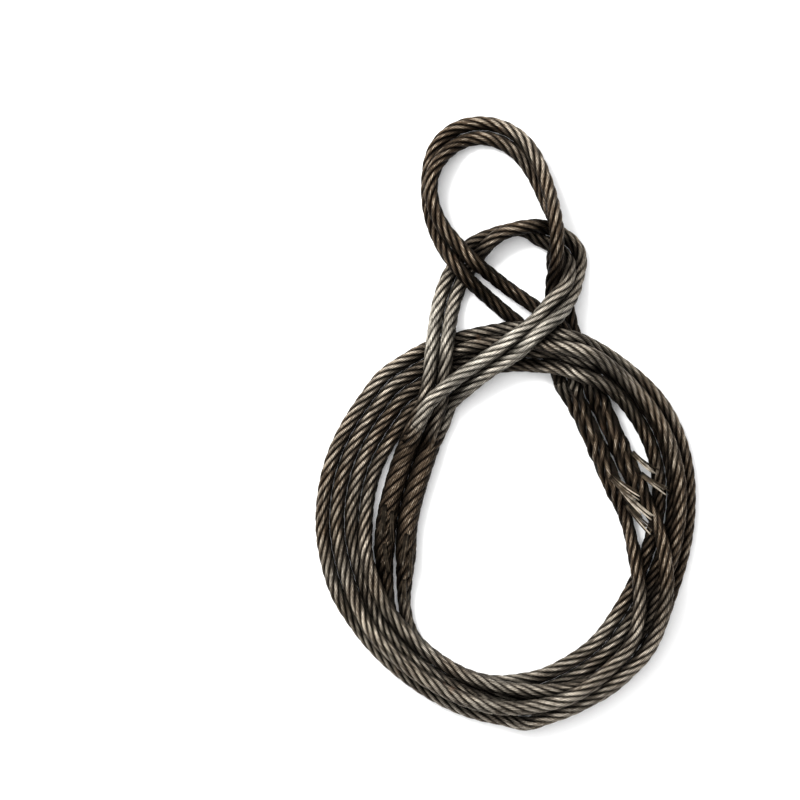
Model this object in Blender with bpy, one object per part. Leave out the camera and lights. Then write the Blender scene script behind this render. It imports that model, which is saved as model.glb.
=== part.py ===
"""Two hand-spliced wire rope slings with soft eyes, coiled together and lying flat.

Each sling is one length of six-strand wire rope.  A big soft eye is turned back and spliced
into the rope at each end, and the cut strand ends stand out of the splices.  The two slings
run side by side through the same coil, so their eyes and splices lie in pairs.

Units are metres, +Z is up and the floor is z = 0.  A route point is (x, y, level): level is
the layer that the rope is laid in, counted in rope diameters, before the heap sinks together.
"""
import math

import bpy
import numpy as np

ROPE_D = 0.012                   # nominal rope diameter
SPLICE_D = 1.62 * ROPE_D         # rope with a second set of strands tucked in
TAIL_D = 0.0036                  # one cut strand
GAP = 0.0004                     # between solids that touch
CLEAR = 0.0007                   # spare room between ropes that lie on each other
STEP = 0.75 * ROPE_D             # between the points of a centreline
TUBE_ROUND = 3                   # bevel resolution of a rope: 10 sides
TAIL_ROUND = 1                   # of a cut strand: 6 sides

UPPER_SPLICE_L = 0.138           # throat of the upper eye to the last tuck
LOWER_SPLICE_L = 0.158
SPLICE_FULL = 0.72               # share of a splice at full thickness, before it tapers
BODY_LENGTHS = 4                 # solids that each rope body is made in, one after another
LEG_ASIDE = 0.53 * ROPE_D        # from the splice's axis to each leg of its eye
LEG_AHEAD = 0.35 * ROPE_D        # length of leg that runs straight out of the splice

HINGE_A = (-0.013, 0.1075, 0.007)  # two points of the line that the upper eyes lift about
HINGE_B = (0.050, 0.1225, 0.013)
HINGE_ROOM = 0.0008              # between the two sides of the hinge
HINGE_RANGE = 8.0                # degrees that the upper eyes lift
MIDDLE = (0.00031, -0.00045, -0.0001)  # middle of the heap as routed, and a hair off the floor

# ---- the coil ---------------------------------------------------------------------------
COIL_CENTRE = (0.002, -0.088)
# Outer rim of the coil: angle in degrees from +X, radius.
COIL_RIM = [
    (0, 0.163), (30, 0.173), (60, 0.178), (90, 0.175), (120, 0.170), (150, 0.168),
    (180, 0.1665), (210, 0.165), (225, 0.164), (240, 0.165), (255, 0.172), (270, 0.178),
    (285, 0.179), (300, 0.179), (315, 0.171), (330, 0.161), (345, 0.159),
]
# Turns of each sling: angle run through, place in from the rim in diameters, level.
TURNS = {
    1: [(225, 1.9, 0), (240, 1.8, 0), (255, 1.7, 0), (270, 2.0, 0), (285, 2.6, 0), (300, 2.8, 0),
        (330, 2.2, 0), (360, 1.6, 0), (400, 1.2, 0), (420, 1.7, 1.0), (450, 2.1, 1.3),
        (480, 2.2, 0.8), (510, 2.4, 0.3), (540, 2.5, 0), (565, 2.4, 0.5), (585, 1.9, 1.2),
        (630, 1.7, 1.0), (650, 0.6, 0.5), (705, 0.5, 0.5), (735, 0.5, 0.8), (760, 0.5, 1.0),
        (790, 0.5, 2.0), (810, 0.5, 2.3), (840, 0.5, 1.6), (870, 0.5, 1.0), (900, 0.5, 0.8),
        (925, 0.5, 1.0), (945, 0.5, 2.2), (990, 0.5, 2.2), (1010, 0.8, 2.4), (1025, 1.0, 2.6)],
    2: [(225, 2.8, 0), (240, 2.7, 0), (255, 2.6, 0), (270, 2.95, 0), (285, 3.6, 0), (300, 3.8, 0),
        (330, 3.15, 0), (350, 3.1, 0), (362, 2.8, 0), (380, 2.4, 0), (400, 2.2, 0),
        (420, 2.6, 1.0), (450, 2.9, 1.3),
        (480, 3.1, 0.8), (510, 3.3, 0.3), (540, 3.5, 0), (565, 3.3, 0.5), (585, 2.6, 1.2),
        (630, 3.0, 1.3), (650, 2.2, 0.8), (665, 1.6, 0.5), (705, 1.4, 0.6), (735, 1.2, 1.0),
        (760, 1.25, 1.2), (790, 1.3, 2.0), (810, 1.35, 2.3), (840, 1.4, 1.6), (870, 1.5, 1.0),
        (900, 1.5, 0.8), (925, 1.4, 1.0), (945, 1.2, 2.6), (990, 1.5, 2.6), (1010, 1.75, 2.8),
        (1025, 1.9, 2.8)],
}
TURN_STEP = 6.0                  # degrees between the points of a turn
EASE = np.linspace(-12.0, 12.0, 9)   # degrees that the coil's tables are evened out over

# ---- the rest of each sling, from the lower throat to the upper one -----------------------
LOWER_SPLICE = {
    1: [(-0.079, -0.008, 3.0), (-0.086, -0.025, 1.8), (-0.093, -0.047, 0.8),
        (-0.100, -0.069, 0), (-0.104, -0.086, 0), (-0.1065, -0.104, 0), (-0.105, -0.121, 0),
        (-0.101, -0.139, 0), (-0.0995, -0.156, 0)],
    2: [(-0.064, -0.011, 3.0), (-0.068, -0.025, 2.0), (-0.075, -0.043, 0.9),
        (-0.082, -0.069, 0), (-0.0855, -0.086, 0), (-0.088, -0.104, 0), (-0.090, -0.121, 0),
        (-0.091, -0.139, 0), (-0.090, -0.156, 0)],
}
UPPER_SPLICE = {
    1: [(0.119, -0.206, 2.6), (0.128, -0.191, 2.6), (0.134, -0.174, 2.6), (0.138, -0.156, 2.4),
        (0.139, -0.139, 2.2), (0.138, -0.121, 2.0), (0.135, -0.095, 1.4), (0.1295, -0.082, 1.4),
        (0.121, -0.067, 1.3), (0.1125, -0.0515, 1.1), (0.1043, -0.034, 0.9), (0.0963, -0.017, 0.6),
        (0.0885, 0.001, 0.2), (0.080, 0.018, 0), (0.0725, 0.0375, 0)],
    2: [(0.107, -0.198, 2.6), (0.1135, -0.187, 2.6), (0.116, -0.174, 2.6), (0.117, -0.160, 2.4),
        (0.117, -0.1475, 2.2), (0.115, -0.130, 2.0), (0.110, -0.104, 1.4), (0.1065, -0.086, 0.9),
        (0.0998, -0.069, 0.4), (0.0923, -0.0515, 0), (0.0853, -0.034, 0), (0.0786, -0.017, 0),
        (0.0705, 0.001, 0), (0.063, 0.018, 0), (0.054, 0.036, 0)],
}
LOWER_EYE = {
    1: [(-0.077, 0, 4), (-0.070, 0.018, 4), (-0.0645, 0.040, 4), (-0.063, 0.062, 3.8),
        (-0.061, 0.084, 2.5), (-0.0575, 0.1055, 1), (-0.0515, 0.124, 0.2), (-0.042, 0.1405, 0),
        (-0.028, 0.1545, 0), (-0.009, 0.1655, 0), (0.013, 0.1705, 0), (0.033, 0.169, 0),
        (0.0455, 0.1615, 0), (0.0525, 0.151, 0), (0.053, 0.139, 0), (0.053, 0.128, 0.4),
        (0.050, 0.117, 1.4), (0.0435, 0.1065, 2.2), (0.0305, 0.091, 3), (0.013, 0.076, 4),
        (-0.0045, 0.064, 4.2), (-0.022, 0.053, 4.2), (-0.039, 0.041, 4.6), (-0.057, 0.027, 5.2),
        (-0.070, 0.016, 5.2), (-0.081, 0.0035, 4.6)],
    2: [(-0.059, -0.003, 4), (-0.055, 0.018, 4), (-0.053, 0.040, 4), (-0.0515, 0.062, 3.8),
        (-0.049, 0.084, 2.5), (-0.0455, 0.1055, 1), (-0.039, 0.123, 0.2), (-0.0305, 0.139, 0.3),
        (-0.0175, 0.157, 0.9), (0, 0.1675, 1.2), (0.022, 0.1715, 1.2), (0.040, 0.167, 1.2),
        (0.054, 0.157, 0.8), (0.0615, 0.147, 0.3), (0.064, 0.1335, 0.2), (0.063, 0.123, 0.6),
        (0.0585, 0.112, 1.4), (0.0505, 0.0995, 2.2), (0.0305, 0.078, 3.2), (0.013, 0.063, 4),
        (-0.0045, 0.0505, 4.2), (-0.022, 0.040, 4.2), (-0.039, 0.026, 4.6),
        (-0.0505, 0.0165, 5.2), (-0.060, 0.0025, 4.6)],
}
UPPER_EYE = {
    1: [(0.0665, 0.036, 0), (0.064, 0.0515, 0), (0.057, 0.066, 0.6), (0.046, 0.083, 0.8),
        (0.035, 0.096, 0.6), (0.013, 0.108, 0.4), (0, 0.118, 0.5), (-0.013, 0.1275, 1),
        (-0.027, 0.139, 2), (-0.0365, 0.1475, 2.6), (-0.0475, 0.158, 2.6), (-0.058, 0.172, 2.2),
        (-0.0655, 0.188, 1.8), (-0.067, 0.203, 1.6), (-0.065, 0.219, 1.2), (-0.058, 0.231, 0.6),
        (-0.0475, 0.2395, 0.2), (-0.0375, 0.2465, 0), (-0.025, 0.250, 0), (-0.013, 0.250, 0),
        (-0.001, 0.2465, 0), (0.0105, 0.239, 0), (0.0195, 0.2265, 0.2), (0.027, 0.213, 0.4),
        (0.033, 0.198, 0.8), (0.0385, 0.1835, 1.6), (0.043, 0.1685, 2.2), (0.0455, 0.154, 2.2),
        (0.047, 0.1405, 1.6), (0.048, 0.1275, 0.8), (0.048, 0.114, 0.2), (0.0485, 0.101, 0),
        (0.0515, 0.088, 0), (0.0575, 0.075, 0), (0.066, 0.062, 0), (0.075, 0.0505, 0),
        (0.0785, 0.039, 0)],
    2: [(0.049, 0.034, 0), (0.0445, 0.049, 0), (0.035, 0.062, 0), (0.022, 0.075, 0),
        (0.008, 0.088, 0), (-0.0115, 0.1055, 0.5), (-0.022, 0.114, 1), (-0.035, 0.124, 1.8),
        (-0.0445, 0.137, 2.4), (-0.054, 0.151, 2.2), (-0.061, 0.165, 1.6), (-0.067, 0.183, 1),
        (-0.068, 0.203, 0.6), (-0.067, 0.219, 0.3), (-0.065, 0.233, 0.2), (-0.0585, 0.246, 0),
        (-0.049, 0.255, 0), (-0.038, 0.2605, 0), (-0.025, 0.262, 0), (-0.0115, 0.2605, 0),
        (0.003, 0.2545, 0), (0.016, 0.2455, 0.3), (0.025, 0.2325, 0.8), (0.033, 0.216, 1.3),
        (0.0375, 0.200, 1.8), (0.041, 0.1845, 2.6), (0.043, 0.1685, 3.2), (0.0435, 0.154, 3.2),
        (0.0435, 0.1405, 2.6), (0.043, 0.1275, 1.8), (0.042, 0.114, 0.8), (0.042, 0.101, 0.2),
        (0.0445, 0.088, 0), (0.049, 0.075, 0), (0.053, 0.062, 0), (0.0575, 0.048, 0),
        (0.060, 0.0375, 0)],
}

# Cut strands: sling, end, distance of the root from the throat, its place round the splice in
# degrees (0 is level on the left-hand side seen from the throat, 90 is on top), and the tip.
CUT_STRANDS = [
    (1, "upper", 0.078, 35, (0.132, -0.0445, 0.0200)),
    (1, "upper", 0.099, 40, (0.141, -0.0605, 0.0220)),
    (2, "upper", 0.096, 78, (0.117, -0.0665, 0.0300)),
    (2, "upper", 0.108, 60, (0.126, -0.0835, 0.0290)),
    (2, "upper", 0.123, 50, (0.127, -0.0955, 0.0270)),
    (1, "lower", 0.084, 60, (-0.0985, -0.1055, 0.0215)),
    (1, "lower", 0.112, 85, (-0.101, -0.1315, 0.0185)),
    (1, "lower", 0.080, 110, (-0.108, -0.1025, 0.0215)),
    (2, "lower", 0.112, 62, (-0.0835, -0.1335, 0.0190)),
    (2, "lower", 0.138, 90, (-0.0885, -0.1555, 0.0160)),
    (2, "lower", 0.100, 95, (-0.091, -0.1245, 0.0205)),
]

LAYER = 1.12 * ROPE_D            # height of one level before the heap sinks
# Rounds of sinking: how many, drop in diameters, pull to the plan, stiffness, passes apart.
SINKING = [(150, 0.035, 0.35, 0.30, 3), (120, 0.012, 0.30, 0.25, 4), (50, 0.004, 0.10, 0.10, 6),
           (12, 0.0, 0.0, 0.02, 8)]

STEEL = {"base": (0.145, 0.130, 0.112), "metallic": 0.75, "roughness": 0.48}
STEEL_WORN = {"base": (0.230, 0.215, 0.195), "metallic": 0.80, "roughness": 0.42}


# ---- centrelines ------------------------------------------------------------------------
def rim_radius(angle):
    """Radius of the coil's outer rim at an angle in degrees."""
    angles = [a for a, _ in COIL_RIM] + [360 + COIL_RIM[0][0]]
    radii = [r for _, r in COIL_RIM] + [COIL_RIM[0][1]]
    return float(np.mean(np.interp((angle + EASE) % 360.0, angles, radii)))


def coil_points(sling):
    """Points of one sling's turns, worked out from its table of places in the coil."""
    angles, places, levels = np.array(TURNS[sling], dtype=float).T
    count = int(round((angles[-1] - angles[0]) / TURN_STEP)) + 1
    points = []
    for angle in np.linspace(angles[0], angles[-1], count):
        place = np.mean(np.interp(angle + EASE, angles, places))
        level = np.mean(np.interp(angle + EASE, angles, levels))
        radius = rim_radius(angle) - place * ROPE_D
        turn = math.radians(angle)
        x = COIL_CENTRE[0] + radius * math.cos(turn)
        y = COIL_CENTRE[1] + radius * math.sin(turn)
        points.append((x, y, float(level)))
    return points


def arc_lengths(points):
    """Distance of each point along its line."""
    steps = np.linalg.norm(np.diff(points, axis=0), axis=1)
    return np.concatenate([[0.0], np.cumsum(steps)])


def resample(points, step):
    """The same line with points at equal steps."""
    along = arc_lengths(points)
    count = max(2, int(round(along[-1] / step))) + 1
    wanted = np.linspace(0.0, along[-1], count)
    return np.column_stack([np.interp(wanted, along, points[:, k]) for k in range(3)])


def soften(points, passes):
    """Rounds a line's corners and keeps its ends."""
    points = points.copy()
    for _ in range(passes):
        points[1:-1] += 0.5 * (0.5 * (points[:-2] + points[2:]) - points[1:-1])
    return points


def laid_line(route):
    """A route as it is first laid: levels become heights, and the line is evened out."""
    points = np.array(route, dtype=float)
    points[:, 2] = ROPE_D / 2 + points[:, 2] * LAYER
    return soften(resample(points, STEP), 3)


def splice_radius(distance, length):
    """Radius of a splice at a distance from its throat; it tapers to the rope's own."""
    start = SPLICE_FULL * length
    share = np.clip((distance - start) / (length - start), 0.0, 1.0)
    return SPLICE_D / 2 + share * (ROPE_D - SPLICE_D) / 2


def body_radii(points):
    """Radius along a sling from its lower throat to its upper one."""
    along = arc_lengths(points)
    lower = splice_radius(along, LOWER_SPLICE_L)
    upper = splice_radius(along[-1] - along, UPPER_SPLICE_L)
    return np.maximum(lower, upper)


# ---- the heap sinks together --------------------------------------------------------------
class Heap:
    """All centrelines together, with the pairs of stretches that could touch."""

    def __init__(self, lines, radii, joins):
        self.sizes = [len(line) for line in lines]
        self.starts = np.concatenate([[0], np.cumsum(self.sizes)[:-1]])
        self.x = np.concatenate(lines)
        self.plan = self.x[:, :2].copy()
        self.r = np.concatenate(radii)
        self.joins = joins
        self.line = np.concatenate([np.full(n, k) for k, n in enumerate(self.sizes)])
        ends = self.starts + np.array(self.sizes) - 1
        self.seg = np.setdiff1d(np.arange(len(self.x)), ends)
        self.inner = np.setdiff1d(self.seg, self.starts)
        self.leg_of = np.full(len(self.x), -1)
        self.throat_of = np.full(len(self.x), -1)
        for number, (eye, body, at_end) in enumerate(joins):
            for k in range(4):
                self.leg_of[self.starts[eye] + k] = number
                self.leg_of[ends[eye] - k] = number
                self.throat_of[ends[body] - k if at_end else self.starts[body] + k] = number

    def find_pairs(self):
        """Stretches of rope near enough to touch within the next few steps."""
        middle = 0.5 * (self.x[self.seg] + self.x[self.seg + 1])
        reach = STEP + SPLICE_D + ROPE_D
        gaps = np.linalg.norm(middle[:, None, :] - middle[None, :, :], axis=2)
        a, b = np.nonzero(np.triu(gaps < reach, 1))
        a, b = self.seg[a], self.seg[b]
        same = (self.line[a] == self.line[b]) & (np.abs(a - b) < 5)
        joined = (self.leg_of[a] >= 0) & (self.leg_of[a] == self.throat_of[b])
        joined |= (self.leg_of[b] >= 0) & (self.leg_of[b] == self.throat_of[a])
        keep = ~(same | joined)
        self.a, self.b = a[keep], b[keep]

    def push_apart(self):
        """One pass that moves overlapping stretches away from each other."""
        p, q = self.x[self.a], self.x[self.b]
        u, v = self.x[self.a + 1] - p, self.x[self.b + 1] - q
        w = p - q
        uu, vv, uv = (u * u).sum(1), (v * v).sum(1), (u * v).sum(1)
        uw, vw = (u * w).sum(1), (v * w).sum(1)
        s = np.clip((uv * vw - uw * vv) / np.maximum(uu * vv - uv * uv, 1e-15), 0, 1)
        t = np.clip((uv * s + vw) / vv, 0, 1)
        s = np.clip((uv * t - uw) / uu, 0, 1)
        apart = w + u * s[:, None] - v * t[:, None]
        gap = np.maximum(np.linalg.norm(apart, axis=1), 1e-9)
        wanted = self.r[self.a] + self.r[self.b] + CLEAR
        hit = gap < wanted
        s, t, a, b = s[hit], t[hit], self.a[hit], self.b[hit]
        weights = (1 - s) ** 2 + s ** 2 + (1 - t) ** 2 + t ** 2
        move = apart[hit] / gap[hit, None] * ((wanted[hit] - gap[hit]) / weights)[:, None]
        total = np.zeros_like(self.x)
        count = np.zeros(len(self.x))
        for node, share, sign in ((a, 1 - s, 1), (a + 1, s, 1), (b, 1 - t, -1), (b + 1, t, -1)):
            np.add.at(total, node, sign * share[:, None] * move)
            np.add.at(count, node, share)
        self.x += total / np.maximum(count, 1.0)[:, None]
        self.x[:, 2] = np.maximum(self.x[:, 2], self.r)

    def sink(self, drop, pull, stiffness):
        """One step down, held to the plan and stiffened like rope."""
        self.x[:, 2] -= drop
        self.x[:, :2] += pull * (self.plan - self.x[:, :2])
        near = self.inner
        bend = 0.5 * (self.x[near - 1] + self.x[near + 1]) - self.x[near]
        self.x[near] += stiffness * bend
        self.x[:, 2] = np.maximum(self.x[:, 2], self.r)

    def join_eyes(self):
        """Brings both legs of each eye to the throat that they are spliced into."""
        for eye, body, at_end in self.joins:
            first, last = self.starts[eye], self.starts[eye] + self.sizes[eye] - 1
            inward = -1 if at_end else 1
            throat = self.starts[body] + (self.sizes[body] - 1 if at_end else 0)
            legs = 0.5 * (self.x[first + 2] + self.x[last - 2])
            middle = 0.5 * (legs + self.x[throat + 2 * inward])
            self.x[throat] += 0.3 * (middle - self.x[throat])
            along, across = throat_frame(self.x[throat], self.x[throat + inward],
                                         self.x[first + 2], self.x[last - 2])
            for node, far, sign, held in ((first, LEG_AHEAD, 1, 1.0),
                                          (last, LEG_AHEAD, -1, 1.0),
                                          (first + 1, LEG_AHEAD + STEP, 1, 0.5),
                                          (last - 1, LEG_AHEAD + STEP, -1, 0.5)):
                place = self.x[throat] + far * along + sign * LEG_ASIDE * across
                self.x[node] += held * (place - self.x[node])


def throat_frame(throat, inside, leg_a, leg_b):
    """Direction out of a splice's throat, and the one from leg b to leg a across it."""
    along = (throat - inside) / np.linalg.norm(throat - inside)
    across = leg_a - leg_b
    across = across - along * float(across @ along)
    return along, across / np.linalg.norm(across)


def settled_lines():
    """Centrelines of both slings at rest: body, lower eye, upper eye for each."""
    lines, radii, joins = [], [], []
    for sling in (1, 2):
        body = laid_line(LOWER_SPLICE[sling] + coil_points(sling) + UPPER_SPLICE[sling])
        lines.append(body)
        radii.append(body_radii(body))
        for route, at_end in ((LOWER_EYE[sling], False), (UPPER_EYE[sling], True)):
            eye = laid_line(route)
            joins.append((len(lines), 3 * (sling - 1), at_end))
            lines.append(eye)
            radii.append(np.full(len(eye), ROPE_D / 2))
    heap = Heap(lines, radii, joins)
    for rounds, drop, pull, stiffness, passes in SINKING:
        for step in range(rounds):
            if step % 10 == 0:
                heap.find_pairs()
            heap.sink(drop * ROPE_D, pull, stiffness)
            heap.join_eyes()
            for _ in range(passes):
                heap.push_apart()
    parts = np.split(heap.x - np.array(MIDDLE), heap.starts[1:])
    return {sling: parts[3 * sling - 3:3 * sling] for sling in (1, 2)}


# ---- shapes -----------------------------------------------------------------------------
def point_at(points, distance):
    """Place at a distance along a line."""
    along = arc_lengths(points)
    return np.array([np.interp(distance, along, points[:, k]) for k in range(3)])


def stretch(points, start, end):
    """The part of a line between two distances along it."""
    along = arc_lengths(points)
    room = 0.2 * STEP
    kept = points[(along > start + room) & (along < end - room)]
    return np.vstack([point_at(points, start), kept, point_at(points, end)])


def hinge_side(point):
    """Above zero on the moving side of the hinge line."""
    run = np.subtract(HINGE_B, HINGE_A)
    off = np.subtract(point, HINGE_A)
    return float(run[0] * off[1] - run[1] * off[0])


def hinge_crossings(points):
    """Distances along an upper eye at which it passes the hinge line, out and back."""
    along = arc_lengths(points)
    sides = np.array([hinge_side(p) for p in points])
    changes = np.nonzero(np.sign(sides[:-1]) != np.sign(sides[1:]))[0]
    found = []
    for k in (changes[0], changes[-1]):
        share = sides[k] / (sides[k] - sides[k + 1])
        found.append(float(along[k] + share * (along[k + 1] - along[k])))
    return found


def material(name, look):
    """Plain steel material with the piece's colour."""
    made = bpy.data.materials.new(name)
    made.use_nodes = True
    shader = made.node_tree.nodes["Principled BSDF"]
    shader.inputs["Base Color"].default_value = (*look["base"], 1.0)
    shader.inputs["Metallic"].default_value = look["metallic"]
    shader.inputs["Roughness"].default_value = look["roughness"]
    return made


def tube(name, points, radii, look, roundness=TUBE_ROUND, parent=None):
    """A closed tube along a line, with its own radius at each point."""
    points = np.asarray(points, dtype=float)
    radii = np.broadcast_to(radii, len(points))
    origin = np.array(parent.location) if parent else np.zeros(3)
    data = bpy.data.curves.new(name, "CURVE")
    data.dimensions = "3D"
    data.bevel_depth = float(radii.max())
    data.bevel_resolution = roundness
    data.use_fill_caps = True
    data.render_resolution_u = 0
    spline = data.splines.new("POLY")
    spline.points.add(len(points) - 1)
    for place, point, radius in zip(spline.points, points, radii):
        place.co = (*(point - origin), 1.0)
        place.radius = float(radius / radii.max())
    data.materials.append(look)
    made = bpy.data.objects.new(name, data)
    made.parent = parent
    bpy.context.collection.objects.link(made)
    return made


def rope_body(sling, line, look):
    """The plain rope between the two splices, in lengths that follow each other."""
    along = arc_lengths(line)
    first = LOWER_SPLICE_L + GAP
    last = along[-1] - UPPER_SPLICE_L
    cuts = np.linspace(first, last, BODY_LENGTHS + 1)
    nearest = np.searchsorted(along, cuts[1:-1])
    cuts[1:-1] = 0.5 * (along[nearest - 1] + along[nearest])
    for number in range(BODY_LENGTHS):
        points = stretch(line, cuts[number], cuts[number + 1] - GAP)
        tube(f"sling_{sling}_rope_body_{number + 1}", points, ROPE_D / 2, look)


def splice(sling, end, line, look):
    """A tucked splice: thick at the throat, tapering into the rope."""
    length = LOWER_SPLICE_L if end == "lower" else UPPER_SPLICE_L
    outward = line if end == "lower" else line[::-1]
    points = stretch(outward, 0.0, length)
    radii = splice_radius(arc_lengths(points), length)
    tube(f"sling_{sling}_{end}_splice", points, radii, look)


def with_throat(eye, throat, inside):
    """An eye's line with both its legs running straight into the splice's face."""
    along, across = throat_frame(throat, inside, eye[2], eye[-3])
    face = throat + GAP * along
    ahead = throat + LEG_AHEAD * along
    aside = LEG_ASIDE * across
    line = np.vstack([face + aside, ahead + aside, eye[1:-1], ahead - aside, face - aside])
    line[:, 2] = np.maximum(line[:, 2], ROPE_D / 2)
    return line


def lower_eye(sling, eye, look):
    """The soft eye at the lower end, one bent length of rope."""
    tube(f"sling_{sling}_lower_eye", eye, ROPE_D / 2, look)


def round_end(points):
    """A line and radii for a tube whose two ends are domes about the line's own ends."""
    radius = ROPE_D / 2
    shares = ((0.50, 0.866), (0.80, 0.60), (0.95, 0.31))
    first = (points[0] - points[1]) / np.linalg.norm(points[0] - points[1])
    last = (points[-1] - points[-2]) / np.linalg.norm(points[-1] - points[-2])
    head = [points[0] + first * radius * out for out, _ in reversed(shares)]
    tail = [points[-1] + last * radius * out for out, _ in shares]
    head_r = [radius * r for _, r in reversed(shares)]
    tail_r = [radius * r for _, r in shares]
    line = np.vstack([head, points, tail])
    return line, np.concatenate([head_r, np.full(len(points), radius), tail_r])


def leg_room(crossing):
    """How far a fixed leg ends from the hinge: a leg above the axis swings back when lifted."""
    run = np.subtract(HINGE_B, HINGE_A)
    share = (crossing[0] - HINGE_A[0]) / run[0]
    above = max(0.0, crossing[2] - HINGE_A[2] - share * run[2])
    return ROPE_D / 2 + HINGE_ROOM + above * math.sin(math.radians(HINGE_RANGE))


def upper_eye(sling, eye, look, hinge):
    """The upper eye: two legs held by the heap, and the bow that lifts about the hinge."""
    out, back = hinge_crossings(eye)
    left_end = out - leg_room(point_at(eye, out))
    right_start = back + leg_room(point_at(eye, back))
    left = stretch(eye, 0.0, left_end)
    right = stretch(eye, right_start, arc_lengths(eye)[-1])
    tube(f"sling_{sling}_upper_eye_left_leg", left, ROPE_D / 2, look)
    tube(f"sling_{sling}_upper_eye_right_leg", right, ROPE_D / 2, look)
    line, radii = round_end(stretch(eye, out, back))
    tube(f"sling_{sling}_upper_eye_bow", line, radii, look, parent=hinge)


def cut_strand(number, spec, line, look):
    """One strand end that stands out of a splice."""
    sling, end, distance, round_about, tip = spec
    outward = line if end == "lower" else line[::-1]
    length = LOWER_SPLICE_L if end == "lower" else UPPER_SPLICE_L
    centre = point_at(outward, distance)
    ahead = point_at(outward, distance + STEP)
    along = (ahead - centre) / np.linalg.norm(ahead - centre)
    side = np.array([-along[1], along[0], 0.0])
    side /= np.linalg.norm(side)
    up = np.cross(along, side)
    turn = math.radians(round_about)
    radial = math.cos(turn) * side + math.sin(turn) * up
    root = centre + radial * (float(splice_radius(distance, length)) + TAIL_D / 2 + GAP)
    bow = 0.10 * np.linalg.norm(tip - root) * up
    points = np.array([root, 0.6 * root + 0.4 * np.array(tip) + bow,
                       0.25 * root + 0.75 * np.array(tip) + 0.7 * bow, tip])
    radii = TAIL_D / 2 * np.array([1.0, 1.0, 0.95, 0.8])
    tube(f"sling_{sling}_{end}_cut_strand_{number}", points, radii, look, TAIL_ROUND)


def main():
    """Builds both slings in place."""
    for old in list(bpy.data.objects):
        bpy.data.objects.remove(old)
    steel = material("greased_wire_rope", STEEL)
    worn = material("cut_strand_steel", STEEL_WORN)
    hinge = bpy.data.objects.new("upper_eye_hinge", None)
    hinge.location = tuple(0.5 * (np.array(HINGE_A) + np.array(HINGE_B)))
    bpy.context.collection.objects.link(hinge)
    lines = settled_lines()
    for sling, (body, lower, upper) in lines.items():
        rope_body(sling, body, steel)
        splice(sling, "lower", body, steel)
        splice(sling, "upper", body, steel)
        lower_eye(sling, with_throat(lower, body[0], body[1]), steel)
        upper_eye(sling, with_throat(upper, body[-1], body[-2]), steel, hinge)
    counts = {}
    for spec in CUT_STRANDS:
        key = spec[:2]
        counts[key] = counts.get(key, 0) + 1
        cut_strand(counts[key], spec, lines[spec[0]][0], worn)


main()
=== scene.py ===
"""Looks of two hand-spliced wire rope slings with soft eyes, coiled together and lying flat.

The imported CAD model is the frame.  Each sling is built here as what it is: six strands of
wires about a core, running on from the tucked tail of one eye, round that eye, through its
splice, round the coil and into the other eye and its tail.  The routes are the CAD's own.

Units are metres, +Z is up and the floor is z = 0.
"""
import math

import bpy
import numpy as np
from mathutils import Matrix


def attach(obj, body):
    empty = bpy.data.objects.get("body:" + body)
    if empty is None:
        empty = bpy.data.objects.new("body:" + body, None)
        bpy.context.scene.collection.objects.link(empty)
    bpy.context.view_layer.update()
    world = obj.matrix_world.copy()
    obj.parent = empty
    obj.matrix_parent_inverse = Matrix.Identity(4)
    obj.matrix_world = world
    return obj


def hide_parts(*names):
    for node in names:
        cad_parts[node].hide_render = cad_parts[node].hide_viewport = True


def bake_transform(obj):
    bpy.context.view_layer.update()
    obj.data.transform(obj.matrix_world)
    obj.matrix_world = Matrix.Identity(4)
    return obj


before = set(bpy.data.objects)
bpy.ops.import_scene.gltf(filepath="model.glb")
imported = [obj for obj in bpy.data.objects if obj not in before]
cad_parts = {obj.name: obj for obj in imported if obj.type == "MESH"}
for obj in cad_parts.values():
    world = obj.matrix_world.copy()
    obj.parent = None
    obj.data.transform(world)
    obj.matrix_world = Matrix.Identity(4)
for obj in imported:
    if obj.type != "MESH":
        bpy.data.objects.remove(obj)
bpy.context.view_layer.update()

# ---- driving dimensions, as in the CAD ----
ROPE_D = 0.012  # nominal rope diameter
SPLICE_D = 1.62 * ROPE_D  # rope with a second set of strands tucked in
TAIL_D = 0.0036  # one cut strand
GAP = 0.0004  # between solids that touch
CLEAR = 0.0007  # spare room between ropes that lie on each other
STEP = 0.75 * ROPE_D  # between the points of a centreline

SPLICE_L = {"lower": 0.158, "upper": 0.138}  # throat of the eye to the last tuck
SPLICE_FULL = 0.72  # share of a splice at full thickness, before it tapers
BODY_LENGTHS = 4  # solids that each rope body is made in, one after another
LEG_ASIDE = 0.53 * ROPE_D  # from the splice's axis to each leg of its eye
LEG_AHEAD = 0.35 * ROPE_D  # length of leg that runs straight out of the splice

MIDDLE = (0.00031, -0.00045, -0.0001)  # middle of the heap as routed, and a hair off the floor

# ---- the rope's make-up ----
STRANDS = 6
REAL_R = 0.00632  # new wire rope is made a little over its nominal size
STRAND_R = 0.00212
STRAND_PLACE = REAL_R - STRAND_R  # from the rope's axis to a strand's
ROPE_LAY = 0.072  # length of rope in which a strand goes round once
CORE_R = 0.0025
CORE_LAP = 0.0006  # that the core reaches into the strands on it
CORE_SIDES = 10
WIRES = 9  # outer wires of a strand
WIRE_LAY = 0.026  # length of strand in which a wire goes round once, back again
WIRE_POINTS = (0.80, 0.95, 1.0, 0.95)  # one wire's outline: its groove, shoulder, top, shoulder
FINE = 0.002  # between the sections of a strand

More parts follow.
